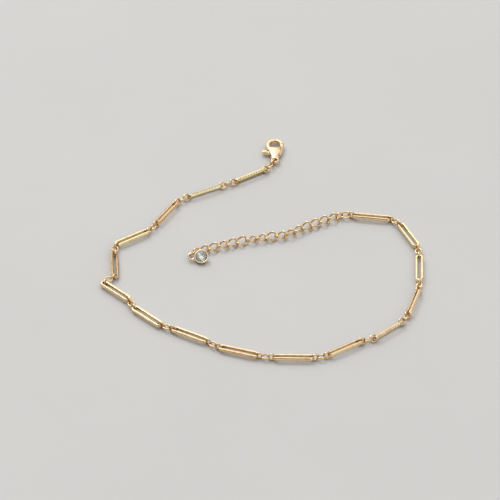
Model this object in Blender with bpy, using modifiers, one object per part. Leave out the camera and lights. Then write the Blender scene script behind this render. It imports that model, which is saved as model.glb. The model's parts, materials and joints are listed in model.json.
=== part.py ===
"""Charm anklet lying open on a flat surface.

A lobster clasp, sixteen slotted bar links joined by threes of small wire links, and an
extender of twisted links that ends in a crystal drop. Lengths are in metres, angles in
degrees, and headings turn from +X towards +Y.
"""

import math
from collections import namedtuple

import bmesh
import bpy
from mathutils import Matrix, Vector

MM = 0.001

# Bar links
BAR_LENGTH = 10.0 * MM
BAR_WIDTH = 2.0 * MM
BAR_HEIGHT = 0.85 * MM
BAR_RAIL = 0.5 * MM
BAR_EDGE = 0.17 * MM

# Small links that join the bars, in threes
LINK_LENGTH = 2.25 * MM
LINK_WIDTH = 2.0 * MM
LINK_WIRE = 0.4 * MM
BAR_PLAY = 0.15 * MM
SLACK_REACH = 0.4 * MM

# Jump ring between the last bar and the extender
JUMP_RING = 2.9 * MM
JUMP_WIRE = 0.5 * MM

# Twisted links of the extender
CURB_LENGTH = 3.3 * MM
CURB_WIDTH = 2.7 * MM
CURB_WIRE = 0.45 * MM
CURB_TWIST = 0.5
CURB_COUNT = 15

# Lobster clasp, along its own +Y from the centre of its tail hole
CLASP_REACH = 6.5 * MM
CLASP_THICKNESS = 1.9 * MM
HEAD_WIDTH = 4.5 * MM
HEAD_THICKNESS = 1.1 * MM
HEAD_HOLE = 2.6 * MM
HOLE_STRETCH = 0.5 * MM
TAIL_WIDTH = 2.3 * MM
TAIL_HOLE = 1.0 * MM
TAIL_THICKNESS = 0.9 * MM
PIVOT_REACH = 2.75 * MM
PIN_WIDTH = 0.7 * MM
PIN_CLEARANCE = 0.12 * MM
HUB_WALL = 0.28 * MM
LEVER_THICKNESS = 0.8 * MM
LEVER_CLEARANCE = 0.12 * MM
TAB_REACH = 3.3 * MM
TAB_LENGTH = 1.3 * MM
TAB_WIDTH = 0.85 * MM
TAB_RISE = 0.65 * MM
TAB_THICKNESS = 1.0 * MM

# Crystal drop
BEZEL_WIDTH = 3.5 * MM
BEZEL_DEPTH = 1.3 * MM
BEZEL_WALL = 0.32 * MM
BEZEL_TILT = 30.0
DROP_LOOP = 2.0 * MM
DROP_WIRE = 0.4 * MM
DROP_RING = 2.7 * MM
CROWN_HEIGHT = 0.4 * MM
TABLE_SHARE = 0.56

# Fits between neighbours
BITE = 0.1 * MM
PLAY = 0.06 * MM
STONE_GAP = 0.06 * MM

# Facets of the round shapes
LINK_SIDES = 10
WIRE_STEPS = 1
BAR_END_STEPS = 5
CLASP_SIDES = 28

CLASP_HEADING = 90.0

# How each bar lies. "join" is the heading of the middle small link before the bar, "roll"
# turns the bar about its own length, and "slack" is how far the links slide into its slot.
BarRow = namedtuple("BarRow", "heading roll join slack")
BARS = (
    BarRow(-147, 56, -122, 1.0),
    BarRow(-152, 40, -155, 0.0),
    BarRow(-120, 25, -140, 0.0),
    BarRow(-146, 6, -120, 0.0),
    BarRow(-87, -25, -95, 1.0),
    BarRow(-44, 0, -155, 1.0),
    BarRow(-44, 4, -70, 1.0),
    BarRow(-29, 1, -25, 1.0),
    BarRow(-18, 4, -40, 0.0),
    BarRow(-1, -5, -10, 0.0),
    BarRow(33, -16, 15, 0.0),
    BarRow(42, -44, 15, 1.0),
    BarRow(73, -50, 60, 1.0),
    BarRow(88, -10, 85, 0.0),
    BarRow(114, 0, 95, 0.0),
    BarRow(172, 5, 135, 0.75),
)

# Where the extender runs, from its first link's near end to past its last link
RoutePoint = namedtuple("RoutePoint", "x y")
EXTENDER_ROUTE = (
    RoutePoint(0.0 * MM, 0.0 * MM),
    RoutePoint(-8.4 * MM, -4.6 * MM),
    RoutePoint(-12.2 * MM, -7.4 * MM),
    RoutePoint(-16.0 * MM, -8.0 * MM),
    RoutePoint(-24.0 * MM, -9.9 * MM),
    RoutePoint(-36.0 * MM, -14.3 * MM),
)
LAST_JOIN = 154.0
JUMP_HEADING = -172.0
DROP_LINK_HEADING = -150.0
DROP_RING_HEADING = -112.0
DROP_RING_LEAN = 50.0
DROP_LOOP_RISE = 4.0

AXIS_HEIGHT = max(LINK_WIDTH, BAR_WIDTH, CLASP_THICKNESS) / 2
UP = Vector((0, 0, 1))

Palette = namedtuple("Palette", "name colour metallic roughness")
BAR_GOLD = Palette("bar_gold", (0.83, 0.60, 0.30), 1.0, 0.22)
LINK_GOLD = Palette("link_gold", (0.80, 0.57, 0.29), 1.0, 0.25)
CURB_GOLD = Palette("curb_gold", (0.79, 0.53, 0.30), 1.0, 0.25)
CLASP_GOLD = Palette("clasp_gold", (0.85, 0.64, 0.36), 1.0, 0.18)
BEZEL_GOLD = Palette("bezel_gold", (0.86, 0.66, 0.38), 1.0, 0.18)
CRYSTAL = Palette("crystal", (0.93, 0.96, 0.95), 0.0, 0.03)


def clear_scene():
    for obj in list(bpy.data.objects):
        bpy.data.objects.remove(obj)


def make_collection(name):
    collection = bpy.data.collections.new(name)
    bpy.context.scene.collection.children.link(collection)
    return collection


clear_scene()
PARTS = make_collection("charm_anklet")
CUTTERS = make_collection("cutters")
CUTTERS.hide_render = True
ROOT = bpy.data.objects.new("anklet_centre", None)
PARTS.objects.link(ROOT)


def material(palette):
    found = bpy.data.materials.get(palette.name)
    if found:
        return found
    made = bpy.data.materials.new(palette.name)
    made.use_nodes = True
    shader = made.node_tree.nodes["Principled BSDF"]
    shader.inputs["Base Color"].default_value = (*palette.colour, 1)
    shader.inputs["Metallic"].default_value = palette.metallic
    shader.inputs["Roughness"].default_value = palette.roughness
    if palette is CRYSTAL:
        shader.inputs["Transmission Weight"].default_value = 0.9
    made.diffuse_color = (*palette.colour, 1)
    return made


def add_part(name, mesh, palette, matrix):
    """A node of the anklet, standing at this matrix under the root."""
    if not mesh.materials:
        mesh.materials.append(material(palette))
    mesh.shade_smooth()
    mesh.set_sharp_from_angle(angle=math.radians(35))
    obj = bpy.data.objects.new(name, mesh)
    PARTS.objects.link(obj)
    obj.matrix_world = matrix
    obj.parent = ROOT
    return obj


def helper(mesh, matrix=None):
    """A shape that only cuts or joins others."""
    obj = bpy.data.objects.new("helper", mesh)
    CUTTERS.objects.link(obj)
    obj.display_type = "WIRE"
    obj.hide_render = True
    if matrix is not None:
        obj.matrix_world = matrix
    return obj


def evaluated_mesh(obj):
    """The object's mesh with its modifiers, its caps welded, and the object removed."""
    bpy.context.view_layer.update()
    graph = bpy.context.evaluated_depsgraph_get()
    mesh = bpy.data.meshes.new_from_object(obj.evaluated_get(graph))
    shape = bmesh.new()
    shape.from_mesh(mesh)
    bmesh.ops.remove_doubles(shape, verts=shape.verts, dist=0.0005 * MM)
    shape.to_mesh(mesh)
    shape.free()
    bpy.data.objects.remove(obj)
    return mesh


def combined(base, others, operation):
    """The base mesh after a Boolean with each of the other meshes in turn."""
    body = helper(base)
    tools = [helper(mesh) for mesh in others]
    for tool in tools:
        boolean = body.modifiers.new("Boolean", "BOOLEAN")
        boolean.operation = operation
        boolean.solver = "EXACT"
        boolean.object = tool
    mesh = evaluated_mesh(body)
    for tool in tools:
        bpy.data.objects.remove(tool)
    return mesh


def moved(mesh, matrix):
    copy = mesh.copy()
    copy.transform(matrix)
    return copy


def frame(origin, along, across):
    """A placement with X along the piece and Y as near as can be to `across`."""
    x = along.normalized()
    y = (across - across.dot(x) * x).normalized()
    z = x.cross(y)
    rotation = Matrix((x, y, z)).transposed().to_4x4()
    return Matrix.Translation(origin) @ rotation


def heading(degrees, rise=0.0):
    turn = math.radians(degrees)
    lift = math.radians(rise)
    return Vector((math.cos(turn) * math.cos(lift), math.sin(turn) * math.cos(lift), math.sin(lift)))


def wire_mesh(points, wire):
    """A closed wire through these points."""
    curve = bpy.data.curves.new("wire", "CURVE")
    curve.dimensions = "3D"
    curve.bevel_depth = wire / 2
    curve.bevel_resolution = WIRE_STEPS
    spline = curve.splines.new("POLY")
    spline.points.add(len(points) - 1)
    for point, place in zip(spline.points, points):
        point.co = (*place, 1)
    spline.use_cyclic_u = True
    return evaluated_mesh(helper(curve))


def oval_mesh(length, width, wire, twist=0.0):
    """A wire link with its length along X. A twist bends it out of its plane."""
    reach = (length - wire) / 2
    spread = (width - wire) / 2
    points = []
    for step in range(LINK_SIDES):
        turn = 2 * math.pi * step / LINK_SIDES
        lift = twist * spread * math.sin(2 * turn)
        points.append((reach * math.cos(turn), spread * math.sin(turn), lift))
    return wire_mesh(points, wire)


def plate_mesh(outlines, thickness):
    """Flat outlines, the inner ones as holes, made into a plate about z = 0."""
    curve = bpy.data.curves.new("plate", "CURVE")
    curve.dimensions = "2D"
    curve.fill_mode = "BOTH"
    curve.extrude = thickness / 2
    for outline in outlines:
        spline = curve.splines.new("POLY")
        spline.points.add(len(outline) - 1)
        for point, (x, y) in zip(spline.points, outline):
            point.co = (x, y, 0, 1)
        spline.use_cyclic_u = True
    return evaluated_mesh(helper(curve))


def bevelled(mesh, width, segments=1):
    obj = helper(mesh)
    bevel = obj.modifiers.new("Bevel", "BEVEL")
    bevel.width = width
    bevel.segments = segments
    bevel.limit_method = "ANGLE"
    bevel.angle_limit = math.radians(50)
    return evaluated_mesh(obj)


def arc(centre, radius, start, end, steps):
    """Points along an arc, both ends included."""
    points = []
    for step in range(steps + 1):
        turn = math.radians(start + (end - start) * step / steps)
        points.append((centre[0] + radius * math.cos(turn), centre[1] + radius * math.sin(turn)))
    return points


def circle(centre, radius, sides):
    return arc(centre, radius, 0, 360, sides)[:-1]


def stadium(start, end, radius, steps):
    """A strip with round ends between two points."""
    along = math.degrees(math.atan2(end[1] - start[1], end[0] - start[0]))
    near = arc(start, radius, along + 90, along + 270, steps)
    far = arc(end, radius, along - 90, along + 90, steps)
    return near + far


def disc_mesh(centre, radius, thickness, sides):
    return plate_mesh([circle(centre, radius, sides)], thickness)


def bar_mesh():
    """A slotted bar with its length along X and its slot open along Z."""
    outer = BAR_WIDTH / 2
    inner = outer - BAR_RAIL
    reach = BAR_LENGTH / 2 - outer
    outlines = [
        stadium((-reach, 0), (reach, 0), outer, BAR_END_STEPS),
        stadium((-reach, 0), (reach, 0), inner, BAR_END_STEPS),
    ]
    return bevelled(plate_mesh(outlines, BAR_HEIGHT), BAR_EDGE)


def fused_links(name, mesh, places, palette):
    """Links that bite a little into their neighbours, joined into one body."""
    origin = sum((place.translation for place in places), Vector()) / len(places)
    back = Matrix.Translation(-origin)
    pieces = [moved(mesh, back @ place) for place in places]
    joined = combined(pieces[0], pieces[1:], "UNION")
    return add_part(name, joined, palette, Matrix.Translation(origin))


# Main chain

LINK_PITCH = LINK_LENGTH - 2 * LINK_WIRE + BITE


def bar_normal(row):
    """The direction in which the bar's slot is open."""
    along = heading(row.heading)
    roll = math.radians(row.roll)
    return UP * math.cos(roll) + along.cross(UP) * math.sin(roll)


def middle(first, second):
    """The heading halfway between two others, by the short way round."""
    return (first.normalized() + second.normalized()).normalized()


def three_links(number, start, headings, first_side, last_side, mesh):
    """Three links from `start`, and the point where the last one ends."""
    if first_side.dot(last_side) < 0:
        last_side = -last_side
    centre_side = headings[1].cross(middle(first_side, last_side))
    places = []
    for along, side in zip(headings, (first_side, centre_side, last_side)):
        places.append(frame(start + along * LINK_PITCH / 2, along, side))
        start = start + along * LINK_PITCH
    fused_links(f"rings_{number:02d}", mesh, places, LINK_GOLD)
    return start


def lay_main_chain(tail):
    """Bars and small links from the clasp's tail hole. Returns where the last bar ends."""
    bars = bar_mesh()
    links = oval_mesh(LINK_LENGTH, LINK_WIDTH, LINK_WIRE)
    before = heading(BARS[0].join)
    side = UP
    point = tail + before * (TAIL_HOLE / 2 - BAR_PLAY)
    for number, row in enumerate(BARS, start=1):
        join = heading(row.join)
        along = heading(row.heading)
        normal = bar_normal(row)
        play = BAR_PLAY + row.slack * SLACK_REACH
        if number > 1:
            point = point - before * (BAR_RAIL + play)
        directions = (middle(before, join), join, middle(join, along))
        point = three_links(number, point, directions, side, normal, links)
        point = point + along * (BAR_LENGTH / 2 - BAR_RAIL - play)
        add_part(f"bar_{number:02d}", bars, BAR_GOLD, frame(point, along, normal.cross(along)))
        point = point + along * BAR_LENGTH / 2
        before = along
        side = normal
    return point, before, side


# Links after the last bar

Loop = namedtuple("Loop", "mesh hole")


def add_loop(name, loop, start, along, side, palette):
    """A separate link whose near hole end is at `start`. Returns its far hole end."""
    add_part(name, loop.mesh, palette, frame(start + along * loop.hole / 2, along, side))
    return start + along * (loop.hole - PLAY)


def route_point(distance):
    """The place on the extender's route this far along it."""
    for here, there in zip(EXTENDER_ROUTE, EXTENDER_ROUTE[1:]):
        step = math.dist(here, there)
        if distance <= step or there is EXTENDER_ROUTE[-1]:
            share = distance / step
            return Vector((here.x + (there.x - here.x) * share, here.y + (there.y - here.y) * share, 0))
        distance -= step
    return Vector()


def lay_extender(start):
    """The twisted links along their route. Returns the far hole end of the last one."""
    hole = CURB_LENGTH - 2 * CURB_WIRE
    pitch = hole + BITE
    mesh = oval_mesh(CURB_LENGTH, CURB_WIDTH, CURB_WIRE, CURB_TWIST)
    places = []
    for number in range(CURB_COUNT):
        near = start + route_point(number * pitch)
        along = (start + route_point((number + 1) * pitch) - near).normalized()
        places.append(frame(near + along * pitch / 2, along, UP.cross(along)))
    fused_links("extender_chain", mesh, places, CURB_GOLD)
    return near + along * ((pitch + hole) / 2 - PLAY)


def lay_jump_ring(point, along, side):
    """The link, the jump ring and the link that lead from the last bar to the extender."""
    link = Loop(oval_mesh(LINK_LENGTH, LINK_WIDTH, LINK_WIRE), LINK_LENGTH - 2 * LINK_WIRE)
    ring = Loop(oval_mesh(JUMP_RING, JUMP_RING, JUMP_WIRE), JUMP_RING - 2 * JUMP_WIRE)
    point = point - along * (BAR_RAIL + BAR_PLAY)
    first = middle(along, heading(LAST_JOIN))
    point = add_loop("end_link", link, point, first, side, LINK_GOLD)
    out = heading(JUMP_HEADING)
    point = add_loop("jump_ring", ring, point, out, UP.cross(out), LINK_GOLD)
    out = middle(out, route_point(CURB_LENGTH))
    return add_loop("extender_link", link, point, out, UP, LINK_GOLD)


# Crystal drop


def bezel_mesh():
    """A round cup about Z, its rim at z = 0, open at the top for the stone."""
    outer = BEZEL_WIDTH / 2
    inner = outer - BEZEL_WALL
    floor = BEZEL_DEPTH - BEZEL_WALL
    chamfer = BEZEL_WALL / 2
    profile = [
        (0, -floor),
        (inner * 0.55, -floor),
        (inner, -floor * 0.45),
        (inner, 0),
        (outer - chamfer * 0.6, 0),
        (outer, -chamfer),
        (outer, -BEZEL_DEPTH + 2 * chamfer),
        (outer - 2 * chamfer, -BEZEL_DEPTH),
        (0, -BEZEL_DEPTH),
    ]
    mesh = bpy.data.meshes.new("bezel")
    mesh.from_pydata([(x, 0, z) for x, z in profile], [(i, i + 1) for i in range(len(profile) - 1)], [])
    obj = helper(mesh)
    screw = obj.modifiers.new("Screw", "SCREW")
    screw.steps = 20
    screw.render_steps = 20
    screw.use_merge_vertices = True
    screw.merge_threshold = 0.000001
    screw.use_normal_calculate = True
    turned = evaluated_mesh(obj)
    shape = bmesh.new()
    shape.from_mesh(turned)
    bmesh.ops.recalc_face_normals(shape, faces=shape.faces)
    shape.to_mesh(turned)
    shape.free()
    return turned


def crystal_mesh():
    """A round stone about Z, its girdle just below z = 0, with a table and crown facets."""
    girdle = BEZEL_WIDTH / 2 - BEZEL_WALL - STONE_GAP
    floor = BEZEL_DEPTH - BEZEL_WALL
    rings = (
        (girdle * TABLE_SHARE, CROWN_HEIGHT, 8, 22.5),
        (girdle * 0.8, CROWN_HEIGHT * 0.56, 8, 0.0),
        (girdle, 0.0, 16, 0.0),
        (girdle, -0.1 * floor, 16, 0.0),
        (girdle * 0.42, -0.8 * floor, 8, 0.0),
    )
    shape = bmesh.new()
    for radius, height, sides, start in rings:
        for x, y in arc((0, 0), radius, start, start + 360, sides)[:-1]:
            shape.verts.new((x, y, height))
    hull = bmesh.ops.convex_hull(shape, input=shape.verts)
    bmesh.ops.delete(shape, geom=hull["geom_interior"] + hull["geom_unused"], context="VERTS")
    bmesh.ops.recalc_face_normals(shape, faces=shape.faces)
    mesh = bpy.data.meshes.new("crystal")
    shape.to_mesh(mesh)
    shape.free()
    return mesh


def lay_drop(point):
    """The link, the ring and the drop, which rests on the lower edge of its tilted cup."""
    tilt = math.radians(BEZEL_TILT)
    face = Vector((0, -math.sin(tilt), math.cos(tilt)))
    slope = Vector((0, math.cos(tilt), math.sin(tilt)))
    rise = math.radians(DROP_LOOP_RISE)
    outwards = Vector((math.cos(rise), 0, 0)) - slope * math.sin(rise)
    outwards.normalize()
    rim_height = BEZEL_WIDTH / 2 * math.sin(tilt) + BEZEL_DEPTH * math.cos(tilt) - BEZEL_WALL * math.sin(tilt)
    loop_reach = BEZEL_WIDTH / 2 + DROP_LOOP / 2 - DROP_WIRE * 0.75
    loop_depth = BEZEL_DEPTH * 0.45

    link = Loop(oval_mesh(LINK_LENGTH, LINK_WIDTH, LINK_WIRE), LINK_LENGTH - 2 * LINK_WIRE)
    out = heading(DROP_LINK_HEADING)
    half_lean = math.radians(DROP_RING_LEAN / 2)
    link_side = UP * math.cos(half_lean) - UP.cross(out) * math.sin(half_lean)
    point = add_loop("drop_link", link, point, out, link_side, LINK_GOLD)

    rim = Vector((0, 0, rim_height))
    loop_offset = -outwards * loop_reach - face * loop_depth
    loop_hole = DROP_LOOP / 2 - DROP_WIRE
    catch = slope * (loop_hole - PLAY)
    ring_hole = DROP_RING - 2 * LINK_WIRE
    lift = rim_height + (loop_offset + catch).z - point.z
    lift_angle = math.degrees(math.asin(lift / (ring_hole - PLAY)))
    along = heading(DROP_RING_HEADING, lift_angle)
    lean = math.radians(DROP_RING_LEAN)
    flat_side = UP.cross(along).normalized()
    side = flat_side * math.cos(lean) + along.cross(flat_side) * math.sin(lean)
    ring = Loop(oval_mesh(DROP_RING, DROP_RING, LINK_WIRE), ring_hole)
    point = add_loop("drop_ring", ring, point, along, side, LINK_GOLD)

    centre = point - catch - loop_offset
    centre.z = rim.z
    loop = oval_mesh(DROP_LOOP, DROP_LOOP, DROP_WIRE)
    turned = frame(Vector(), outwards, face.cross(outwards))
    loop_place = frame(loop_offset, outwards, face.cross(outwards))
    cup = combined(moved(bezel_mesh(), turned), [moved(loop, loop_place)], "UNION")
    add_part("drop_bezel", cup, BEZEL_GOLD, Matrix.Translation(centre))
    add_part("drop_crystal", crystal_mesh(), CRYSTAL, Matrix.Translation(centre) @ turned)


# Lobster clasp

PIVOT = (0.0, PIVOT_REACH)
HEAD = (0.0, CLASP_REACH)
HUB_RADIUS = PIN_WIDTH / 2 + PIN_CLEARANCE + HUB_WALL
GATE_ROOT = CLASP_REACH - HEAD_HOLE / 2 - PIVOT_REACH + 0.2 * MM
CLAW_TIP_TURN = 3.0


def gate_tip_reach():
    """From the pivot to the middle of the claw's tip, where the gate ends."""
    ring = (HEAD_WIDTH + HEAD_HOLE) / 4
    turn = math.radians(CLAW_TIP_TURN)
    return math.hypot(ring * math.cos(turn), CLASP_REACH + ring * math.sin(turn) - PIVOT_REACH)


def gate_region(clearance):
    """A prism round the gate: between two arcs about the pivot, on the clasp's right."""
    near = arc(PIVOT, GATE_ROOT - clearance, -30, 79, 10)
    far = arc(PIVOT, gate_tip_reach() + clearance, 79, -30, 14)
    return plate_mesh([near + far], CLASP_THICKNESS * 1.5)


def head_hole_mesh(clearance=0.0):
    """The lower end of the head's hole, which runs on a little towards the shank."""
    centre = (0.0, CLASP_REACH - HOLE_STRETCH)
    radius = HEAD_HOLE / 2 + (HEAD_WIDTH - HEAD_HOLE) * 0.06 + clearance
    return disc_mesh(centre, radius, CLASP_THICKNESS * 1.5, CLASP_SIDES)


def clasp_outline_mesh():
    """The clasp's head and shank as one body, before the lever is cut from it."""
    section = (HEAD_WIDTH - HEAD_HOLE) / 4
    bpy.ops.mesh.primitive_torus_add(
        major_segments=CLASP_SIDES,
        minor_segments=10,
        major_radius=(HEAD_WIDTH + HEAD_HOLE) / 4,
        minor_radius=section,
    )
    torus = bpy.context.object
    head = torus.data
    bpy.data.objects.remove(torus)
    head.transform(Matrix.Diagonal((1, 1, HEAD_THICKNESS / 2 / section, 1)))
    head.transform(Matrix.Translation((*HEAD, 0)))

    start = TAIL_WIDTH * 0.36
    end = CLASP_REACH - HEAD_HOLE * 0.35
    half_widths = (
        (0.0, TAIL_WIDTH * 0.42),
        (0.25, HEAD_WIDTH * 0.3),
        (0.5, HEAD_WIDTH * 0.39),
        (0.75, HEAD_WIDTH * 0.44),
        (1.0, HEAD_WIDTH * 0.45),
    )
    right = [(half, start + (end - start) * share) for share, half in half_widths]
    left = [(-x, y) for x, y in reversed(right)]
    shank = bevelled(plate_mesh([right + left], CLASP_THICKNESS), CLASP_THICKNESS * 0.27, 3)
    joined = combined(head, [shank], "UNION")
    return combined(joined, [head_hole_mesh()], "DIFFERENCE")


def lever_pocket():
    """The space in the middle of the shank's thickness where the lever turns."""
    low = PIVOT_REACH - HUB_RADIUS - 3 * LEVER_CLEARANCE
    waist = PIVOT_REACH + HUB_RADIUS + 3 * LEVER_CLEARANCE
    top = CLASP_REACH - HEAD_HOLE / 2 + 3 * LEVER_CLEARANCE
    wide = HEAD_WIDTH
    left = HEAD_WIDTH * 0.2
    outline = [(-wide, low), (wide, low), (wide, top), (-left, top), (-left, waist), (-wide, waist)]
    return plate_mesh([outline], LEVER_THICKNESS + 2 * LEVER_CLEARANCE)


def clasp_body_mesh(outline):
    tail_outlines = [circle((0, 0), TAIL_WIDTH / 2, 20), circle((0, 0), TAIL_HOLE / 2, 12)]
    tail = bevelled(plate_mesh(tail_outlines, TAIL_THICKNESS), BAR_EDGE)
    joined = combined(outline, [tail], "UNION")
    opened = combined(joined, [gate_region(LEVER_CLEARANCE), lever_pocket()], "DIFFERENCE")
    pin = disc_mesh(PIVOT, PIN_WIDTH / 2, CLASP_THICKNESS * 0.9, 16)
    return combined(opened, [pin], "UNION")


def clasp_lever_mesh(outline):
    """The hub on its pin, the gate to its right and the thumb tab to its left."""
    gate = combined(outline, [gate_region(0.0)], "INTERSECT")
    turn = math.radians(62)
    root = GATE_ROOT + 0.5 * MM
    arm_end = (root * math.cos(turn), PIVOT_REACH + root * math.sin(turn))
    tab_height = PIVOT_REACH + TAB_RISE
    tab_start = (-TAB_REACH + TAB_LENGTH - TAB_WIDTH / 2, tab_height)
    tab_end = (-TAB_REACH + TAB_WIDTH / 2, tab_height)
    arm = plate_mesh([stadium(PIVOT, arm_end, HUB_RADIUS * 0.6, 6)], LEVER_THICKNESS)
    arm = combined(arm, [head_hole_mesh(LEVER_CLEARANCE)], "DIFFERENCE")
    hub = disc_mesh(PIVOT, HUB_RADIUS, LEVER_THICKNESS, 20)
    neck = plate_mesh([stadium(PIVOT, tab_start, TAB_WIDTH * 0.4, 6)], LEVER_THICKNESS)
    tab_outline = stadium(tab_start, tab_end, TAB_WIDTH / 2, 6)
    tab = bevelled(plate_mesh([tab_outline], TAB_THICKNESS), TAB_WIDTH * 0.15)
    solid = combined(hub, [arm, neck, tab, gate], "UNION")
    bore = disc_mesh(PIVOT, PIN_WIDTH / 2 + PIN_CLEARANCE, CLASP_THICKNESS * 1.5, 16)
    return combined(solid, [bore], "DIFFERENCE")


def lay_clasp():
    """The clasp with its tail hole over the layout's start, its lever's origin on the pin."""
    turn = Matrix.Rotation(math.radians(CLASP_HEADING - 90), 4, "Z")
    place = Matrix.Translation((0, 0, AXIS_HEIGHT)) @ turn
    outline = clasp_outline_mesh()
    add_part("clasp_body", clasp_body_mesh(outline.copy()), CLASP_GOLD, place)
    pivot = Matrix.Translation((*PIVOT, 0))
    lever = moved(clasp_lever_mesh(outline.copy()), pivot.inverted())
    add_part("clasp_lever", lever, CLASP_GOLD, place @ pivot)


def centre_on_floor():
    """Moves the root so that the anklet's box stands centred on the origin."""
    bpy.context.view_layer.update()
    corners = []
    for obj in ROOT.children:
        corners += [obj.matrix_world @ vertex.co for vertex in obj.data.vertices]
    low = [min(corner[axis] for corner in corners) for axis in range(3)]
    high = [max(corner[axis] for corner in corners) for axis in range(3)]
    ROOT.location = (-(low[0] + high[0]) / 2, -(low[1] + high[1]) / 2, -low[2])


lay_clasp()
chain_end = lay_main_chain(Vector((0, 0, AXIS_HEIGHT)))
extender_start = lay_jump_ring(*chain_end)
extender_end = lay_extender(extender_start)
lay_drop(extender_end)
centre_on_floor()
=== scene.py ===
"""Looks of the charm anklet: fine shapes, polished gold, a cut crystal, and the studio round it.

The chain's layout follows the same sizes and tables as the part's source, from the clasp's
pivot on. Lengths are in metres, angles in degrees, and headings turn from +X towards +Y.
"""

import json
import math
from collections import namedtuple

import bmesh
import bpy
from mathutils import Matrix, Vector


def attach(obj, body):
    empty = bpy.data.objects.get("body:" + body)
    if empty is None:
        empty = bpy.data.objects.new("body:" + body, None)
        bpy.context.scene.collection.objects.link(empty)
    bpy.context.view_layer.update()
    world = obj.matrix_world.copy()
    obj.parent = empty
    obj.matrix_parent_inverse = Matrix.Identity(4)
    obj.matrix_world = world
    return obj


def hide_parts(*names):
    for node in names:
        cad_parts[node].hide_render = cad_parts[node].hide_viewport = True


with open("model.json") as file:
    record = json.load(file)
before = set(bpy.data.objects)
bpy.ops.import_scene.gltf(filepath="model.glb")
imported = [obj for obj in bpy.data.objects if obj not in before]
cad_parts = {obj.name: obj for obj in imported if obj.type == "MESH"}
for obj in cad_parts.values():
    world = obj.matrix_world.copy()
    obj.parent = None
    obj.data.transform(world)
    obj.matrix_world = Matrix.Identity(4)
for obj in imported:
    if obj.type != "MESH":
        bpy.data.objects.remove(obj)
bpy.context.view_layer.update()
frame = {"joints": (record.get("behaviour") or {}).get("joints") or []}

MM = 0.001
UP = Vector((0, 0, 1))

# Sizes and layout, as in the part's source

BAR_LENGTH = 10.0 * MM
BAR_WIDTH = 2.0 * MM
BAR_HEIGHT = 0.85 * MM
BAR_RAIL = 0.5 * MM

LINK_LENGTH = 2.25 * MM
LINK_WIDTH = 2.0 * MM
LINK_WIRE = 0.4 * MM
BAR_PLAY = 0.15 * MM
SLACK_REACH = 0.4 * MM

JUMP_RING = 2.9 * MM
JUMP_WIRE = 0.5 * MM

CURB_LENGTH = 3.3 * MM
CURB_WIDTH = 2.7 * MM
CURB_WIRE = 0.45 * MM
CURB_TWIST = 0.5

CLASP_REACH = 6.5 * MM
CLASP_THICKNESS = 1.9 * MM
HEAD_WIDTH = 4.5 * MM
HEAD_THICKNESS = 1.1 * MM
HEAD_HOLE = 2.6 * MM
HOLE_STRETCH = 0.5 * MM
TAIL_WIDTH = 2.3 * MM
TAIL_HOLE = 1.0 * MM
TAIL_THICKNESS = 0.9 * MM
PIVOT_REACH = 2.75 * MM
PIN_WIDTH = 0.7 * MM
PIN_CLEARANCE = 0.12 * MM
HUB_WALL = 0.28 * MM
LEVER_THICKNESS = 0.8 * MM
LEVER_CLEARANCE = 0.12 * MM
TAB_REACH = 3.3 * MM
TAB_LENGTH = 1.3 * MM
TAB_WIDTH = 0.85 * MM
TAB_RISE = 0.65 * MM
TAB_THICKNESS = 1.0 * MM

BEZEL_WIDTH = 3.5 * MM
BEZEL_DEPTH = 1.3 * MM
BEZEL_WALL = 0.32 * MM
BEZEL_TILT = 30.0
DROP_LOOP = 2.0 * MM
DROP_WIRE = 0.4 * MM
DROP_RING = 2.7 * MM
CROWN_HEIGHT = 0.4 * MM
TABLE_SHARE = 0.56

BITE = 0.1 * MM
PLAY = 0.06 * MM
STONE_GAP = 0.06 * MM

BarRow = namedtuple("BarRow", "heading roll join slack")
BARS = (
    BarRow(-147, 56, -122, 1.0),
    BarRow(-152, 40, -155, 0.0),
    BarRow(-120, 25, -140, 0.0),
    BarRow(-146, 6, -120, 0.0),
    BarRow(-87, -25, -95, 1.0),
    BarRow(-44, 0, -155, 1.0),
    BarRow(-44, 4, -70, 1.0),
    BarRow(-29, 1, -25, 1.0),
    BarRow(-18, 4, -40, 0.0),
    BarRow(-1, -5, -10, 0.0),
    BarRow(33, -16, 15, 0.0),
    BarRow(42, -44, 15, 1.0),
    BarRow(73, -50, 60, 1.0),
    BarRow(88, -10, 85, 0.0),
    BarRow(114, 0, 95, 0.0),
    BarRow(172, 5, 135, 0.75),
)

RoutePoint = namedtuple("RoutePoint", "x y")
EXTENDER_ROUTE = (
    RoutePoint(0.0 * MM, 0.0 * MM),
    RoutePoint(-8.4 * MM, -4.6 * MM),
    RoutePoint(-12.2 * MM, -7.4 * MM),
    RoutePoint(-16.0 * MM, -8.0 * MM),
    RoutePoint(-24.0 * MM, -9.9 * MM),
    RoutePoint(-36.0 * MM, -14.3 * MM),
)
LAST_JOIN = 154.0
JUMP_HEADING = -172.0
DROP_LINK_HEADING = -150.0
DROP_RING_HEADING = -112.0
DROP_RING_LEAN = 50.0
DROP_LOOP_RISE = 4.0

PIVOT_PLACE = Vector(frame["joints"][0]["pos_m"])
TAIL_PLACE = PIVOT_PLACE - Vector((0, PIVOT_REACH, 0))

# Finer sizes that only the looks need. The rails grow inwards and the wires all round.

CUT_COUNT = 10
CUT_DEPTH = 0.05 * MM
CUT_LEAN = 0.14 * MM
SLANTED_SHARE = 0.39
RAIL_GROWTH = 0.08 * MM
RAIL_ROUNDING = 0.05 * MM
WIRE_GROWTH = 0.05 * MM
CURB_ROLLS = (12, -6, -14, -8, 10, 18, 4, -16, 14, 18, -18, -10, 6, -8, 10)
LINK_STEPS = 44
WIRE_SIDES = 14
END_STEPS = 16
EDGE_STEPS = 5
ROUND_STEPS = 20
CIRCLE_SIDES = 64

# Camera, from the photograph's perspective

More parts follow.
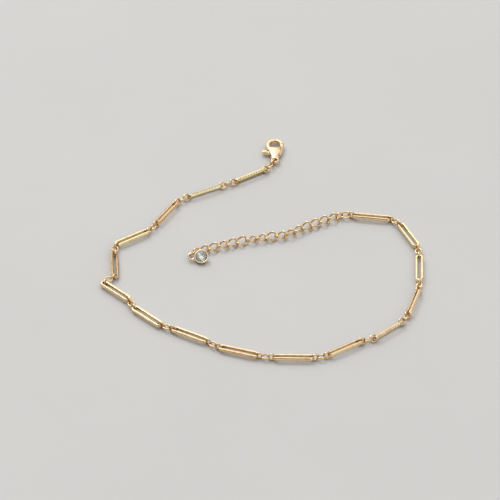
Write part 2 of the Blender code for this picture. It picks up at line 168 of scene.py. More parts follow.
CAMERA_ELEVATION = 39.0
CAMERA_DISTANCE = 850.0 * MM
CAMERA_LENS = 246.6
PHOTO_CENTRE_FROM_TAIL = Vector((-6.4 * MM, -35.1 * MM, 0))


# Places of the pieces


def placed(origin, along, across):
    """A placement with X along the piece and Y as near as can be to `across`."""
    x = along.normalized()
    y = (across - across.dot(x) * x).normalized()
    z = x.cross(y)
    return Matrix.Translation(origin) @ Matrix((x, y, z)).transposed().to_4x4()


def heading(degrees, rise=0.0):
    turn = math.radians(degrees)
    lift = math.radians(rise)
    level = math.cos(lift)
    return Vector((math.cos(turn) * level, math.sin(turn) * level, math.sin(lift)))


def middle(first, second):
    return (first.normalized() + second.normalized()).normalized()


def bar_normal(row):
    along = heading(row.heading)
    roll = math.radians(row.roll)
    return UP * math.cos(roll) + along.cross(UP) * math.sin(roll)


def route_point(distance):
    """The place on the extender's route this far along it."""
    for here, there in zip(EXTENDER_ROUTE, EXTENDER_ROUTE[1:]):
        step = math.dist(here, there)
        if distance <= step or there is EXTENDER_ROUTE[-1]:
            share = distance / step
            x = here.x + (there.x - here.x) * share
            y = here.y + (there.y - here.y) * share
            return Vector((x, y, 0))
        distance -= step
    return Vector()


LINK_HOLE = LINK_LENGTH - 2 * LINK_WIRE
LINK_PITCH = LINK_HOLE + BITE


def chain_places():
    """Placements of the bars and of each trio of small links, then where the last bar ends."""
    bars = []
    trios = []
    before = heading(BARS[0].join)
    side = UP
    point = TAIL_PLACE + before * (TAIL_HOLE / 2 - BAR_PLAY)
    for number, row in enumerate(BARS):
        join = heading(row.join)
        along = heading(row.heading)
        normal = bar_normal(row)
        play = BAR_PLAY + row.slack * SLACK_REACH
        if number > 0:
            point = point - before * (BAR_RAIL + play)
        far_side = -normal if side.dot(normal) < 0 else normal
        sides = (side, join.cross(middle(side, far_side)), far_side)
        trio = []
        for out, across in zip((middle(before, join), join, middle(join, along)), sides):
            trio.append(placed(point + out * LINK_PITCH / 2, out, across))
            point = point + out * LINK_PITCH
        trios.append(trio)
        point = point + along * (BAR_LENGTH / 2 - BAR_RAIL - play)
        bars.append(placed(point, along, normal.cross(along)))
        point = point + along * BAR_LENGTH / 2
        before = along
        side = normal
    return bars, trios, point, before, side


# Mesh building blocks


def grid_shape(rings):
    """Points and faces of a closed tube through these rings of points."""
    count = len(rings)
    sides = len(rings[0])
    points = [point for ring in rings for point in ring]
    faces = []
    for i in range(count):
        for j in range(sides):
            i2 = (i + 1) % count
            j2 = (j + 1) % sides
            faces.append((i * sides + j, i2 * sides + j, i2 * sides + j2, i * sides + j2))
    return points, faces


def joined(shapes_and_places):
    """One mesh from several shapes, each at its own placement."""
    points = []
    faces = []
    for (shape_points, shape_faces), place in shapes_and_places:
        start = len(points)
        points += [place @ Vector(point) for point in shape_points]
        faces += [tuple(start + index for index in face) for face in shape_faces]
    mesh = bpy.data.meshes.new("shape")
    mesh.from_pydata(points, [], faces)
    mesh.update()
    return mesh


def facing_out(mesh):
    shape = bmesh.new()
    shape.from_mesh(mesh)
    bmesh.ops.recalc_face_normals(shape, faces=shape.faces)
    shape.to_mesh(mesh)
    shape.free()
    return mesh


# A rounding takes at most this share of an outline's side
CORNER_SHARE = 0.45


def rounded(corners, radius, steps):
    """The outline through these corners with each corner rounded."""
    outline = []
    for index, corner in enumerate(corners):
        corner = Vector(corner)
        back = Vector(corners[index - 1]) - corner
        forth = Vector(corners[(index + 1) % len(corners)]) - corner
        cut = min(radius, back.length * CORNER_SHARE, forth.length * CORNER_SHARE)
        first = corner + back.normalized() * cut
        last = corner + forth.normalized() * cut
        for step in range(steps + 1):
            t = step / steps
            outline.append(first * (1 - t) ** 2 + corner * 2 * t * (1 - t) + last * t ** 2)
    return outline


def oval_shape(length, width, wire, twist=0.0):
    """A round-wire link with its length along X."""
    reach = (length - wire) / 2
    spread = (width - wire) / 2
    rings = []
    for step in range(LINK_STEPS):
        turn = 2 * math.pi * step / LINK_STEPS
        cosine = math.cos(turn)
        sine = math.sin(turn)
        wave = twist * spread
        centre = Vector((reach * cosine, spread * sine, wave * math.sin(2 * turn)))
        tangent = Vector((-reach * sine, spread * cosine, 2 * wave * math.cos(2 * turn)))
        tangent.normalize()
        out = Vector((spread * cosine, reach * sine, 0))
        out = (out - out.dot(tangent) * tangent).normalized()
        side = tangent.cross(out)
        ring = []
        for corner in range(WIRE_SIDES):
            angle = 2 * math.pi * corner / WIRE_SIDES
            ring.append(centre + (out * math.cos(angle) + side * math.sin(angle)) * wire / 2)
        rings.append(ring)
    return grid_shape(rings)


def scratch(mesh):
    """A helper object that only lends its mesh to a modifier."""
    obj = bpy.data.objects.new("scratch", mesh)
    bpy.context.scene.collection.objects.link(obj)
    return obj


def evaluated(obj):
    """The object's mesh with its modifiers, and the object removed."""
    bpy.context.view_layer.update()
    graph = bpy.context.evaluated_depsgraph_get()
    mesh = bpy.data.meshes.new_from_object(obj.evaluated_get(graph))
    bpy.data.objects.remove(obj)
    return mesh


def combined(base, others, operation):
    """The base mesh after a Boolean with each of the other meshes in turn."""
    body = scratch(base.copy())
    tools = [scratch(mesh) for mesh in others]
    for tool in tools:
        boolean = body.modifiers.new("Boolean", "BOOLEAN")
        boolean.operation = operation
        boolean.solver = "EXACT"
        boolean.object = tool
    mesh = evaluated(body)
    for tool in tools:
        bpy.data.objects.remove(tool)
    return mesh


def cast(meshes, voxel):
    """Closed meshes fused into one, their edges softened as on a cast and polished piece."""
    shape = bmesh.new()
    for mesh in meshes:
        shape.from_mesh(mesh)
    whole = bpy.data.meshes.new("cast")
    shape.to_mesh(whole)
    shape.free()
    whole.transform(Matrix.Scale(1 / MM, 4))
    obj = scratch(whole)
    remesh = obj.modifiers.new("Remesh", "REMESH")
    remesh.mode = "VOXEL"
    remesh.voxel_size = voxel / MM
    smooth = obj.modifiers.new("Smooth", "SMOOTH")
    smooth.factor = 0.5
    smooth.iterations = CAST_PASSES
    result = evaluated(obj)
    result.transform(Matrix.Scale(MM, 4))
    return result


def arc(centre, radius, start, end, steps):
    """Points along an arc, both ends included."""
    points = []
    for step in range(steps + 1):
        turn = math.radians(start + (end - start) * step / steps)
        points.append((centre[0] + radius * math.cos(turn), centre[1] + radius * math.sin(turn)))
    return points


def circle(centre, radius, sides=CIRCLE_SIDES):
    return arc(centre, radius, 0, 360, sides)[:-1]


def stadium(start, end, radius):
    """A strip with round ends between two points."""
    along = math.degrees(math.atan2(end[1] - start[1], end[0] - start[0]))
    back = arc(start, radius, along + 90, along + 270, ROUND_STEPS)
    front = arc(end, radius, along - 90, along + 90, ROUND_STEPS)
    return back + front


def prism(outline, thickness):
    """A flat outline made into a plate about z = 0."""
    count = len(outline)
    points = [Vector((x, y, thickness / 2 * side)) for side in (-1, 1) for x, y in outline]
    faces = [tuple(range(count)), tuple(range(2 * count - 1, count - 1, -1))]
    faces += [(i, count + i, count + (i + 1) % count, (i + 1) % count) for i in range(count)]
    return facing_out(joined([((points, faces), Matrix.Identity(4))]))


def capped(rings):
    """A tube through these rings of points, closed at both ends."""
    count = len(rings)
    sides = len(rings[0])
    points = [point for ring in rings for point in ring]
    faces = [tuple(range(sides)), tuple(range((count - 1) * sides, count * sides))]
    for i in range(count - 1):
        for j in range(sides):
            j2 = (j + 1) % sides
            faces.append((i * sides + j, i * sides + j2, (i + 1) * sides + j2, (i + 1) * sides + j))
    return points, faces


def smooth_rows(rows, steps):
    """Rows of numbers with smooth rows between them, for a loft through a short table."""
    filled = []
    last = len(rows) - 1
    for index in range(last):
        before = rows[max(index - 1, 0)]
        here = rows[index]
        there = rows[index + 1]
        after = rows[min(index + 2, last)]
        for step in range(steps):
            t = step / steps
            row = []
            for a, b, c, d in zip(before, here, there, after):
                cubic = 3 * (b - c) + d - a
                square = 2 * a - 5 * b + 4 * c - d + t * cubic
                row.append(b + 0.5 * t * (c - a + t * square))
            filled.append(row)
    filled.append(list(rows[last]))
    return filled


# Bars: two rails with a slot between, their outer sides cut in a row of slanted facets

RailStation = namedtuple("RailStation", "x y turn cut")


def rail_stations():
    """Stations along the closed rail: notches and crests of each straight, then its end turn."""
    reach = (BAR_LENGTH - BAR_WIDTH) / 2
    spread = (BAR_WIDTH - BAR_RAIL) / 2
    stations = []
    for side in (1, -1):
        for step in range(2 * CUT_COUNT + 1):
            x = side * (reach - step * reach / CUT_COUNT)
            cut = 1.0 if step % 2 else 0.0
            stations.append(RailStation(x, side * spread, 90.0 * side, cut))
        for step in range(1, END_STEPS):
            turn = 90.0 * side + 180.0 * step / END_STEPS
            x = -side * reach + spread * math.cos(math.radians(turn))
            stations.append(RailStation(x, spread * math.sin(math.radians(turn)), turn, 0.0))
    return stations


# The rail's section, as shares of half its width, outwards, and of half its height
RAIL_CORNERS = (
    (-1.0, -0.85),
    (-1.0, 0.85),
    (-0.7, 1.0),
    (0.55, 1.0),
    (1.0, 0.5),
    (1.0, -0.5),
    (0.55, -1.0),
    (-0.7, -1.0),
)


def bar_shape():
    """A bar about its centre: its rails are chamfered, notched outside and grown inwards."""
    half = BAR_RAIL / 2
    tall = BAR_HEIGHT / 2
    corners = [(across * half, up * tall) for across, up in RAIL_CORNERS]
    section = rounded(corners, RAIL_ROUNDING, EDGE_STEPS)
    rings = []
    for station in rail_stations():
        turn = math.radians(station.turn)
        out = Vector((math.cos(turn), math.sin(turn), 0))
        along = Vector((-math.sin(turn), math.cos(turn), 0))
        on_straight = abs(abs(station.turn) - 90) < 1e-6
        slanted = on_straight and abs(station.x) < BAR_LENGTH * SLANTED_SHARE
        growth = RAIL_GROWTH * abs(math.sin(turn))
        centre = Vector((station.x, station.y, 0))
        ring = []
        for u, v in section:
            outer = max(0.0, u / half)
            depth = CUT_DEPTH * station.cut * outer + growth * max(0.0, -u / half)
            lean = CUT_LEAN * v / tall * outer if slanted else 0.0
            ring.append(centre + out * (u - depth) + along * lean + UP * v)
        rings.append(ring)
    return grid_shape(rings)


# Materials

# Painted shade and painted reflection: gold in nooks and slots is turned brown, standing in for the
# shade there and for the gold that a nook mirrors
PAINTED_NOOK_SHADE_BROWN = (0.55, 0.29, 0.11)
PAINTED_SHADE_REACH = 0.9 * MM

Gold = namedtuple("Gold", "name colour deep roughness")
GOLD_LEMON = Gold("gold_lemon", (0.93, 0.79, 0.47), (0.80, 0.62, 0.31), 0.15)
GOLD_BAR = Gold("gold_bar", (0.94, 0.74, 0.47), (0.80, 0.56, 0.32), 0.15)
GOLD_AMBER = Gold("gold_amber", (0.95, 0.70, 0.42), (0.82, 0.47, 0.22), 0.13)
GOLD_LINK = Gold("gold_link", (0.92, 0.71, 0.42), (0.70, 0.44, 0.20), 0.16)
GOLD_CURB = Gold("gold_curb", (0.94, 0.73, 0.44), (0.76, 0.49, 0.23), 0.15)
GOLD_CLASP = Gold("gold_clasp", (0.92, 0.73, 0.47), (0.80, 0.56, 0.34), 0.27)
GOLD_BEZEL = Gold("gold_bezel", (0.95, 0.78, 0.54), (0.80, 0.60, 0.36), 0.12)


def node_of(tree, kind, **settings):
    made = tree.nodes.new(kind)
    for name, value in settings.items():
        if name in made.inputs:
            made.inputs[name].default_value = value
        else:
            setattr(made, name, value)
    return made


def new_material(name):
    """A material with its node tree and its shader."""
    made = bpy.data.materials.new(name)
    made.use_nodes = True
    return made, made.node_tree, made.node_tree.nodes["Principled BSDF"]


def noise(tree, **settings):
    """The values of a noise in the object's own space."""
    place = node_of(tree, "ShaderNodeTexCoord")
    pattern = node_of(tree, "ShaderNodeTexNoise", **settings)
    tree.links.new(place.outputs["Object"], pattern.inputs["Vector"])
    return pattern.outputs["Fac"]


def tinted(tree, value, low, high, start=0.0, end=1.0):
    """A colour that turns from low to high while the value goes from start to end."""
    tint = node_of(tree, "ShaderNodeValToRGB")
    for element, position, colour in zip(tint.color_ramp.elements, (start, end), (low, high)):
        element.position = position
        element.color = (*colour, 1)
    tree.links.new(value, tint.inputs["Fac"])
    return tint.outputs["Color"]


def ranged(tree, value, low, high, start=0.0, end=1.0):
    """A number that goes from low to high while the value goes from start to end."""
    change = node_of(tree, "ShaderNodeMapRange")
    change.inputs["From Min"].default_value = start
    change.inputs["From Max"].default_value = end
    change.inputs["To Min"].default_value = low
    change.inputs["To Max"].default_value = high
    tree.links.new(value, change.inputs["Value"])
    return change.outputs["Result"]


def gold(look):
    """Polished plate: a slow change of tone, painted brown shade and reflection in nooks, faint
    wear in the gloss, and a hair-fine grain.
    """
    made = bpy.data.materials.get(look.name)
    if made:
        return made
    made, tree, shader = new_material(look.name)
    link = tree.links.new
    shader.inputs["Metallic"].default_value = 1.0

    tone = noise(tree, Scale=900.0, Detail=3.0, Roughness=0.5)
    plate = tinted(tree, tone, look.deep, look.colour, start=0.3, end=0.52)
    # Painted shade: the ambient occlusion mixes the plate towards brown in nooks and slots, in
    # place of the shade and mirrored gold there
    shade = node_of(tree, "ShaderNodeAmbientOcclusion", samples=8, Distance=PAINTED_SHADE_REACH)
    painted_shade_mask = ranged(tree, shade.outputs["AO"], 0.0, 1.0, start=0.35, end=0.85)
    painted_shade_mix = node_of(tree, "ShaderNodeMix", data_type="RGBA")
    painted_shade_mix.inputs["A"].default_value = (*PAINTED_NOOK_SHADE_BROWN, 1)
    link(painted_shade_mask, painted_shade_mix.inputs["Factor"])
    link(plate, painted_shade_mix.inputs["B"])
    link(painted_shade_mix.outputs["Result"], shader.inputs["Base Color"])

    wear = noise(tree, Scale=2600.0, Detail=4.0, Roughness=0.6)
    dullest = look.roughness * 1.5
    gloss = ranged(tree, wear, look.roughness * 0.6, dullest, start=0.3, end=0.75)
    link(gloss, shader.inputs["Roughness"])

    bump = node_of(tree, "ShaderNodeBump", Strength=0.12, Distance=0.02 * MM)
    link(noise(tree, Scale=5200.0, Detail=2.0), bump.inputs["Height"])
    link(bump.outputs["Normal"], shader.inputs["Normal"])
    return made


def cut_glass():
    """Clear stone, with the faintest haze in its gloss."""
    made, tree, shader = new_material("cut_glass")
    shader.inputs["Transmission Weight"].default_value = 1.0
    shader.inputs["IOR"].default_value = 1.55
    haze = noise(tree, Scale=1500.0, Detail=2.0)
    tint = tinted(tree, haze, (0.94, 0.97, 0.95), (1.0, 0.99, 0.97))
    tree.links.new(ranged(tree, haze, 0.0, 0.03), shader.inputs["Roughness"])
    tree.links.new(tint, shader.inputs["Base Color"])
    return made


def foil():
    """The stone's silvered back, which turns from silver to a faint mint."""
    made, tree, shader = new_material("foil")
    shader.inputs["Metallic"].default_value = 1.0
    shader.inputs["Roughness"].default_value = 0.4
    patch = noise(tree, Scale=700.0, Detail=1.0)
    tint = tinted(tree, patch, (0.74, 0.96, 0.88), (1.0, 0.99, 0.96), start=0.38, end=0.48)
    tree.links.new(tint, shader.inputs["Base Color"])
    return made


# Pieces

# Edges sharper than these angles stay crisp
WIRE_SHARP = 40.0
BAR_SHARP = 14.0
CAST_SHARP = 80.0
FACET_SHARP = 3.0


def add_piece(name, mesh, material, nodes, body="anklet", sharp=WIRE_SHARP):
    """A shown piece that stands for these CAD nodes and rides on their body."""
    mesh.name = name
    mesh.materials.clear()
    mesh.materials.append(material)
    mesh.shade_smooth()
    mesh.set_sharp_from_angle(angle=math.radians(sharp))
    piece = bpy.data.objects.new(name, mesh)
    bpy.context.scene.collection.objects.link(piece)
    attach(piece, body)
    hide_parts(*nodes)
    return piece


LEMON_BARS = (1, 2, 4, 15)
AMBER_BARS = (3, 5, 9)


def bar_look(number):
    if number in LEMON_BARS:
        return GOLD_LEMON
    return GOLD_AMBER if number in AMBER_BARS else GOLD_BAR


def dress_chain():
    """Bars and small links, each in its node's place. Returns where the last bar ends."""
    bars, trios, point, along, side = chain_places()
    shape = bar_shape()
    for number, place in enumerate(bars, start=1):
        add_piece(
            f"bar_link_{number:02d}",
            facing_out(joined([(shape, place)])),
            gold(bar_look(number)),
            [f"bar_{number:02d}"],
            sharp=BAR_SHARP,
        )
    link = oval_shape(LINK_LENGTH, LINK_WIDTH, LINK_WIRE + WIRE_GROWTH)
    for number, trio in enumerate(trios, start=1):
        add_piece(
            f"small_links_{number:02d}",
            facing_out(joined([(link, place) for place in trio])),
            gold(GOLD_LINK),
            [f"rings_{number:02d}"],
        )
    return point, along, side


def add_loop(name, node, size, wire, start, along, side):
    """One wire ring whose near hole end is at `start`. Returns its far hole end."""
    length, width = size
    hole = length - 2 * wire
    place = placed(start + along * hole / 2, along, side)
    mesh = facing_out(joined([(oval_shape(length, width, wire), place)]))
    add_piece(name, mesh, gold(GOLD_LINK), [node])
    return start + along * (hole - PLAY)


def dress_jump_ring(point, along, side):
    """The rings between the last bar and the extender."""
    small = (LINK_LENGTH, LINK_WIDTH)
    point = point - along * (BAR_RAIL + BAR_PLAY)
    first = middle(along, heading(LAST_JOIN))
    point = add_loop("last_small_link", "end_link", small, LINK_WIRE, point, first, side)
    out = heading(JUMP_HEADING)
    large = (JUMP_RING, JUMP_RING)
    point = add_loop("large_ring", "jump_ring", large, JUMP_WIRE, point, out, UP.cross(out))
    out = middle(out, route_point(CURB_LENGTH))
    return add_loop("first_extender_link", "extender_link", small, LINK_WIRE, point, out, UP)


def dress_extender(start):
    """The twisted links along their route. Returns the far hole end of the last one."""
    hole = CURB_LENGTH - 2 * CURB_WIRE
    pitch = hole + BITE
    shape = oval_shape(CURB_LENGTH, CURB_WIDTH, CURB_WIRE + WIRE_GROWTH, CURB_TWIST)
    parts = []
    for number, roll in enumerate(CURB_ROLLS):
        near = start + route_point(number * pitch)
        along = (start + route_point((number + 1) * pitch) - near).normalized()
        place = placed(near + along * pitch / 2, along, UP.cross(along))
        parts.append((shape, place @ Matrix.Rotation(math.radians(roll), 4, "X")))
    mesh = facing_out(joined(parts))
    add_piece("extender_links", mesh, gold(GOLD_CURB), ["extender_chain"])
    return near + along * ((pitch + hole) / 2 - PLAY)


# Lobster clasp, in its own frame: the tail's hole at the centre, the head along +Y

PIVOT = (0.0, PIVOT_REACH)
HEAD = (0.0, CLASP_REACH)
HOLE_END = (0.0, CLASP_REACH - HOLE_STRETCH)
HUB_RADIUS = PIN_WIDTH / 2 + PIN_CLEARANCE + HUB_WALL
GATE_ROOT_RISE = 0.2 * MM
GATE_ROOT = CLASP_REACH - HEAD_HOLE / 2 - PIVOT_REACH + GATE_ROOT_RISE
CLAW_TIP_TURN = 3.0
HEAD_RING = (HEAD_WIDTH + HEAD_HOLE) / 4
TAIL_RING = (TAIL_WIDTH + TAIL_HOLE) / 4
HEAD_SWELL = 0.05 * MM
HOLE_RELIEF = 0.55
POCKET_LEFT = HEAD_WIDTH * 0.2
NECK_RADIUS = TAB_WIDTH * 0.4
SHANK_SIDES = 48
SHANK_FILL = 8
EYE_STEPS = 48
EYE_SIDES = 32
CUTTER_HEIGHT = CLASP_THICKNESS * 1.5
PIN_HEIGHT = CLASP_THICKNESS * 0.76
CAST_VOXEL = 0.05 * MM
CAST_PASSES = 3

# How far the gate and the lever's arm reach round the pivot, from the right towards the head
GATE_START = -30.0
GATE_END = 79.0
ARM_START = -38.0
ARM_END = 77.0
ARM_OVERLAP = 0.3 * MM

# Below 1 a round section turns squarer
ROUND = 1.0
HEAD_SQUARENESS = 0.6

# The shank's sections, as shares of the clasp's reach, half its width and half its thickness
ShankRow = namedtuple("ShankRow", "reach width thickness")
SHANK = (
    ShankRow(0.09, 0.40, 0.44),
    ShankRow(0.19, 0.48, 0.60),
    ShankRow(0.30, 0.61, 0.78),
    ShankRow(0.42, 0.76, 0.90),
    ShankRow(0.54, 0.86, 0.97),
    ShankRow(0.66, 0.94, 0.98),
    ShankRow(0.80, 0.98, 0.88),
    ShankRow(0.92, 0.94, 0.62),
)


def round_section(sides, squareness):
    """Points of a section one unit round, squarer where the squareness is below 1."""
    section = []
    for corner in range(sides):
        angle = 2 * math.pi * corner / sides
        x = math.copysign(abs(math.cos(angle)) ** squareness, math.cos(angle))
        z = math.copysign(abs(math.sin(angle)) ** squareness, math.sin(angle))
        section.append((x, z))
    return section


def eye_mesh(top, bottom, ring, across, tall, squareness=ROUND):
    """A loop of oval section round two centres, with straight sides between its half circles."""
    rings = []
    for centre, first in ((top, 0), (bottom, 180)):
        for step in range(EYE_STEPS + 1):
            turn = math.radians(first + 180 * step / EYE_STEPS)
            out = Vector((math.cos(turn), math.sin(turn), 0))
            place = Vector((*centre, 0)) + out * ring
            section = round_section(EYE_SIDES, squareness)
            rings.append([place + out * across * x + UP * tall * z for x, z in section])
    if top == bottom:
        rings = rings[:EYE_STEPS] + rings[EYE_STEPS + 1:-1]
    return facing_out(joined([(grid_shape(rings), Matrix.Identity(4))]))


def shank_mesh():
    rings = []
    for reach, width, thickness in smooth_rows(SHANK, SHANK_FILL):
        half_width = width * HEAD_WIDTH / 2
        half_thickness = thickness * CLASP_THICKNESS / 2
        rings.append([
            Vector((x * half_width, reach * CLASP_REACH, z * half_thickness))
            for x, z in round_section(SHANK_SIDES, ROUND)
        ])
    return facing_out(joined([(capped(rings), Matrix.Identity(4))]))


def gate_region(clearance):
    """A prism round the gate: between two arcs about the pivot, on the clasp's right."""
    turn = math.radians(CLAW_TIP_TURN)
    tip_rise = CLASP_REACH + HEAD_RING * math.sin(turn) - PIVOT_REACH
    tip = math.hypot(HEAD_RING * math.cos(turn), tip_rise)
    near = arc(PIVOT, GATE_ROOT - clearance, GATE_START, GATE_END, steps=40)
    far = arc(PIVOT, tip + clearance, GATE_END, GATE_START, steps=56)
    return prism(near + far, CUTTER_HEIGHT)


def lever_pocket():
    """The space in the middle of the shank's thickness where the lever turns."""
    room = 3 * LEVER_CLEARANCE
    low = PIVOT_REACH - HUB_RADIUS - room
    waist = PIVOT_REACH + HUB_RADIUS + room
    top = CLASP_REACH - HEAD_HOLE / 2 + room
    wide = HEAD_WIDTH
    outline = [
        (-wide, low),
        (wide, low),
        (wide, top),
        (-POCKET_LEFT, top),
        (-POCKET_LEFT, waist),
        (-wide, waist),
    ]
    return prism(outline, LEVER_THICKNESS + 2 * LEVER_CLEARANCE)


def clasp_outline():
    """The head and the shank as one body, before the lever is cut from it."""
    across = (HEAD_WIDTH - HEAD_HOLE) / 4 + HEAD_SWELL
    hole = prism(stadium(HEAD, HOLE_END, HEAD_HOLE / 2 + across * HOLE_RELIEF), CUTTER_HEIGHT)
    shank = combined(shank_mesh(), [hole], "DIFFERENCE")
    head = eye_mesh(HEAD, HOLE_END, HEAD_RING, across, HEAD_THICKNESS / 2, HEAD_SQUARENESS)
    return combined(head, [shank], "UNION")


def clasp_body(outline):
    tail = eye_mesh((0, 0), (0, 0), TAIL_RING, (TAIL_WIDTH - TAIL_HOLE) / 4, TAIL_THICKNESS / 2)
    whole = combined(outline, [tail], "UNION")
    opened = combined(whole, [gate_region(LEVER_CLEARANCE), lever_pocket()], "DIFFERENCE")
    pin = prism(circle(PIVOT, PIN_WIDTH / 2), PIN_HEIGHT)
    return cast([opened, pin], CAST_VOXEL)


def clasp_lever(outline):
    """The hub on its pin, the gate to its right and the thumb tab to its left."""
    gate = combined(outline, [gate_region(0.0)], "INTERSECT")
    rim = arc(PIVOT, GATE_ROOT + ARM_OVERLAP, ARM_START, ARM_END, steps=48)
    arm = combined(outline, [prism([PIVOT] + rim, LEVER_THICKNESS)], "INTERSECT")
    tab_height = PIVOT_REACH + TAB_RISE
    tab_start = (-TAB_REACH + TAB_LENGTH - TAB_WIDTH / 2, tab_height)
    tab_end = (-TAB_REACH + TAB_WIDTH / 2, tab_height)
    hub = prism(circle(PIVOT, HUB_RADIUS), LEVER_THICKNESS)
    neck = prism(stadium(PIVOT, tab_start, NECK_RADIUS), LEVER_THICKNESS)
    tab = prism(stadium(tab_start, tab_end, TAB_WIDTH / 2), TAB_THICKNESS)
    bore = prism(circle(PIVOT, PIN_WIDTH / 2 + PIN_CLEARANCE), CUTTER_HEIGHT)
    bored = [combined(mesh, [bore], "DIFFERENCE") for mesh in (hub, arm, neck)]
    return cast(bored + [tab, gate], CAST_VOXEL)


def dress_clasp():
    outline = clasp_outline()
    for name, mesh, node, body in (
        ("clasp_shell", clasp_body(outline), "clasp_body", "anklet"),
        ("clasp_thumb_lever", clasp_lever(outline), "clasp_lever", "lever"),
    ):
        mesh.transform(Matrix.Translation(TAIL_PLACE))
        add_piece(
            name, mesh, gold(GOLD_CLASP), [node], body=body, sharp=CAST_SHARP
        )


# Crystal drop

BEZEL_SIDES = 72
BEZEL_VOXEL = 0.04 * MM
BEZEL_ROUNDING = 0.14 * MM
NEAR_AXIS = 0.01 * MM
LOOP_OVERLAP = DROP_WIRE * 0.75
LOOP_DEPTH = BEZEL_DEPTH * 0.45

# The stone's rings of corners, from the table down: share of the girdle, sides and turn.
# Their heights are shares of the crown's height above the girdle and of the cup's depth below.
StoneRow = namedtuple("StoneRow", "share crown depth sides turn")
STONE = (
    StoneRow(TABLE_SHARE, 1.0, 0.0, 8, 22.5),
    StoneRow(0.8, 0.6, 0.0, 8, 0.0),
    StoneRow(1.0, 0.0, 0.0, 16, 0.0),
    StoneRow(1.0, 0.0, 0.08, 16, 0.0),
    StoneRow(0.62, 0.0, 0.34, 8, 22.5),
    StoneRow(0.2, 0.0, 0.52, 8, 0.0),
)

# Facets that look down more steeply than this are foiled
FOILED_SLOPE = 0.2


def bezel_shape():
    """A round cup about Z, its rim at z = 0, with rolled edges."""
    outer = BEZEL_WIDTH / 2
    inner = outer - BEZEL_WALL
    floor = BEZEL_DEPTH - BEZEL_WALL
    corners = (
        (inner * 0.3, -floor),
        (inner * 0.55, -floor),
        (inner, -floor * 0.45),
        (inner, 0),
        (outer, 0),
        (outer, -BEZEL_DEPTH + BEZEL_WALL * 0.4),
        (outer - BEZEL_WALL, -BEZEL_DEPTH),
        (inner * 0.3, -BEZEL_DEPTH),
    )
    wall = rounded(corners, BEZEL_ROUNDING, EDGE_STEPS)
    profile = [(NEAR_AXIS, -floor)] + wall + [(NEAR_AXIS, -BEZEL_DEPTH)]
    rings = []
    for r, z in profile:
        rings.append([Vector((x, y, z)) for x, y in circle((0, 0), r, BEZEL_SIDES)])
    return capped(rings)


def crystal_mesh():
    """A round stone about Z, cut with a table, crown facets and a low back."""
    girdle = BEZEL_WIDTH / 2 - BEZEL_WALL - STONE_GAP
    floor = BEZEL_DEPTH - BEZEL_WALL
    shape = bmesh.new()
    for row in STONE:
        height = row.crown * CROWN_HEIGHT - row.depth * floor
        for x, y in arc((0, 0), girdle * row.share, row.turn, row.turn + 360, row.sides)[:-1]:
            shape.verts.new((x, y, height))
    hull = bmesh.ops.convex_hull(shape, input=shape.verts)
    bmesh.ops.delete(shape, geom=hull["geom_interior"] + hull["geom_unused"], context="VERTS")
    bmesh.ops.dissolve_limit(
        shape, angle_limit=math.radians(1), verts=shape.verts, edges=shape.edges
    )
    bmesh.ops.recalc_face_normals(shape, faces=shape.faces)
    mesh = bpy.data.meshes.new("crystal")
    shape.to_mesh(mesh)
    shape.free()
    return mesh


def dress_drop(point):
    """The link, the ring and the drop, which rests on the lower edge of its tilted cup."""
    tilt = math.radians(BEZEL_TILT)
    face = Vector((0, -math.sin(tilt), math.cos(tilt)))
    slope = Vector((0, math.cos(tilt), math.sin(tilt)))
    rise = math.radians(DROP_LOOP_RISE)
    outwards = Vector((math.cos(rise), 0, 0)) - slope * math.sin(rise)
    outwards.normalize()
    lowest = BEZEL_WIDTH / 2 - BEZEL_WALL
    rim_height = lowest * math.sin(tilt) + BEZEL_DEPTH * math.cos(tilt)
    loop_reach = BEZEL_WIDTH / 2 + DROP_LOOP / 2 - LOOP_OVERLAP

    out = heading(DROP_LINK_HEADING)
    half_lean = math.radians(DROP_RING_LEAN / 2)
    link_side = UP * math.cos(half_lean) - UP.cross(out) * math.sin(half_lean)
    small = (LINK_LENGTH, LINK_WIDTH)
    point = add_loop("drop_small_link", "drop_link", small, LINK_WIRE, point, out, link_side)

    loop_offset = -outwards * loop_reach - face * LOOP_DEPTH
    catch = slope * (DROP_LOOP / 2 - DROP_WIRE - PLAY)
    ring_hole = DROP_RING - 2 * LINK_WIRE
    lift = rim_height + (loop_offset + catch).z - point.z
    along = heading(DROP_RING_HEADING, math.degrees(math.asin(lift / (ring_hole - PLAY))))
    lean = math.radians(DROP_RING_LEAN)
    flat_side = UP.cross(along).normalized()
    side = flat_side * math.cos(lean) + along.cross(flat_side) * math.sin(lean)
    large = (DROP_RING, DROP_RING)
    point = add_loop("drop_jump_ring", "drop_ring", large, LINK_WIRE, point, along, side)

    centre = point - catch - loop_offset
    centre.z = rim_height
    turned = placed(centre, outwards, face.cross(outwards))
    loop = oval_shape(DROP_LOOP, DROP_LOOP, DROP_WIRE)
    loop_place = placed(centre + loop_offset, outwards, face.cross(outwards))
    cup = facing_out(joined([(bezel_shape(), turned)]))
    cup = cast([cup, facing_out(joined([(loop, loop_place)]))], BEZEL_VOXEL)
    add_piece(
        "drop_cup", cup, gold(GOLD_BEZEL), ["drop_bezel"], sharp=CAST_SHARP
    )
    stone = crystal_mesh()
    foiled = [face.index for face in stone.polygons if face.normal.z < -FOILED_SLOPE]
    stone.transform(turned)
    gem = add_piece(
        "drop_stone", stone, cut_glass(), ["drop_crystal"], sharp=FACET_SHARP
    )
    gem.data.materials.append(foil())
    for index in foiled:
        gem.data.polygons[index].material_index = 1


# Studio

FLOOR_REACH = 3.0
FLOOR_TONE = (0.69, 0.687, 0.682)
FLOOR_CHANGE = 0.03

KEY_PLACE = (-0.35, 0.45, 0.82)
KEY_SIZE = (0.34, 0.34)
KEY_POWER = 1.6
KEY_COLOUR = (1.0, 0.98, 0.95)


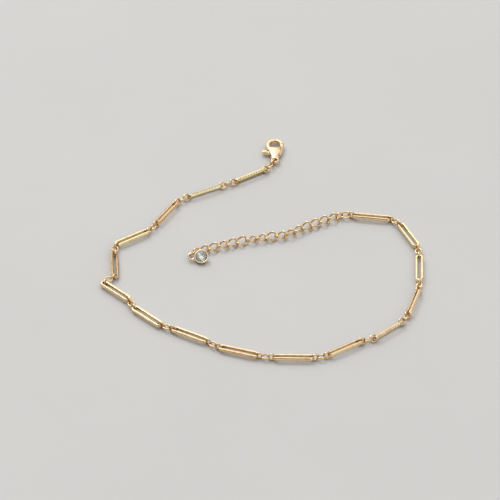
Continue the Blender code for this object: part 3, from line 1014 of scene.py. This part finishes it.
def add_floor():
    floor = bpy.data.objects.new("floor", bpy.data.meshes.new("floor"))
    shape = bmesh.new()
    bmesh.ops.create_grid(shape, x_segments=1, y_segments=1, size=FLOOR_REACH)
    shape.to_mesh(floor.data)
    shape.free()
    bpy.context.scene.collection.objects.link(floor)
    made, tree, shader = new_material("floor")
    shader.inputs["Roughness"].default_value = 0.85
    shader.inputs["Specular IOR Level"].default_value = 0.25
    darker = [value * (1 - FLOOR_CHANGE) for value in FLOOR_TONE]
    paler = [value * (1 + FLOOR_CHANGE) for value in FLOOR_TONE]
    tint = tinted(tree, noise(tree, Scale=22.0, Detail=5.0, Roughness=0.55), darker, paler)
    tree.links.new(tint, shader.inputs["Base Color"])
    floor.data.materials.append(made)


def add_camera():
    lift = math.radians(CAMERA_ELEVATION)
    target = Vector((TAIL_PLACE.x, TAIL_PLACE.y, 0)) + PHOTO_CENTRE_FROM_TAIL
    back = Vector((0, -math.cos(lift), math.sin(lift)))
    data = bpy.data.cameras.new("camera")
    data.sensor_width = 36.0
    data.lens = CAMERA_LENS
    data.clip_start = 0.01
    data.clip_end = 20.0
    camera = bpy.data.objects.new("camera", data)
    bpy.context.scene.collection.objects.link(camera)
    camera.location = target + back * CAMERA_DISTANCE
    camera.rotation_euler = (-back).to_track_quat("-Z", "Y").to_euler()
    bpy.context.scene.camera = camera


def add_key():
    """The key light: a panel behind and to the left, turned to the middle of the anklet."""
    data = bpy.data.lights.new("key", "AREA")
    data.shape = "RECTANGLE"
    data.size, data.size_y = KEY_SIZE
    data.energy = KEY_POWER
    data.color = KEY_COLOUR
    panel = bpy.data.objects.new("key", data)
    bpy.context.scene.collection.objects.link(panel)
    panel.location = KEY_PLACE
    panel.rotation_euler = (-Vector(KEY_PLACE)).to_track_quat("-Z", "Y").to_euler()


# Soft boxes of the room: bright patches of the sky, even up to the inner angle from their
# direction and faded out at the outer one
SoftBox = namedtuple("SoftBox", "direction inner outer level")
SOFT_BOXES = (
    SoftBox((-0.30, 0.66, 0.69), 16.0, 50.0, 1.45),
    SoftBox((0.55, -0.60, 0.58), 14.0, 34.0, 0.9),
    SoftBox((0.68, 0.35, 0.64), 10.0, 38.0, 0.8),
    SoftBox((-0.05, -0.16, 0.98), 10.0, 26.0, 1.3),
)
ROOM_LEVEL = 0.16
ROOM_COLOUR = (1.0, 0.99, 0.975)


def add_world():
    """A dim room with large soft boxes, so that the metal shows bright and dark bands."""
    world = bpy.data.worlds.new("studio")
    bpy.context.scene.world = world
    world.use_nodes = True
    tree = world.node_tree
    link = tree.links.new
    place = node_of(tree, "ShaderNodeTexCoord")
    level = None
    for box in SOFT_BOXES:
        facing = node_of(tree, "ShaderNodeVectorMath", operation="DOT_PRODUCT")
        facing.inputs[1].default_value = Vector(box.direction).normalized()
        link(place.outputs["Generated"], facing.inputs[0])
        edge = node_of(tree, "ShaderNodeMapRange", interpolation_type="SMOOTHSTEP")
        edge.inputs["From Min"].default_value = math.cos(math.radians(box.outer))
        edge.inputs["From Max"].default_value = math.cos(math.radians(box.inner))
        edge.inputs["To Min"].default_value = 0.0 if level else ROOM_LEVEL
        edge.inputs["To Max"].default_value = box.level
        link(facing.outputs["Value"], edge.inputs["Value"])
        if level:
            total = node_of(tree, "ShaderNodeMath", operation="ADD")
            link(level, total.inputs[0])
            link(edge.outputs["Result"], total.inputs[1])
            level = total.outputs["Value"]
        else:
            level = edge.outputs["Result"]
    link(level, tree.nodes["Background"].inputs["Strength"])
    tree.nodes["Background"].inputs["Color"].default_value = (*ROOM_COLOUR, 1)


def add_studio():
    add_floor()
    add_camera()
    add_world()
    add_key()
    bpy.context.scene.view_settings.view_transform = "Standard"


dress_clasp()
chain_end = dress_chain()
extender_start = dress_jump_ring(*chain_end)
extender_end = dress_extender(extender_start)
dress_drop(extender_end)
add_studio()
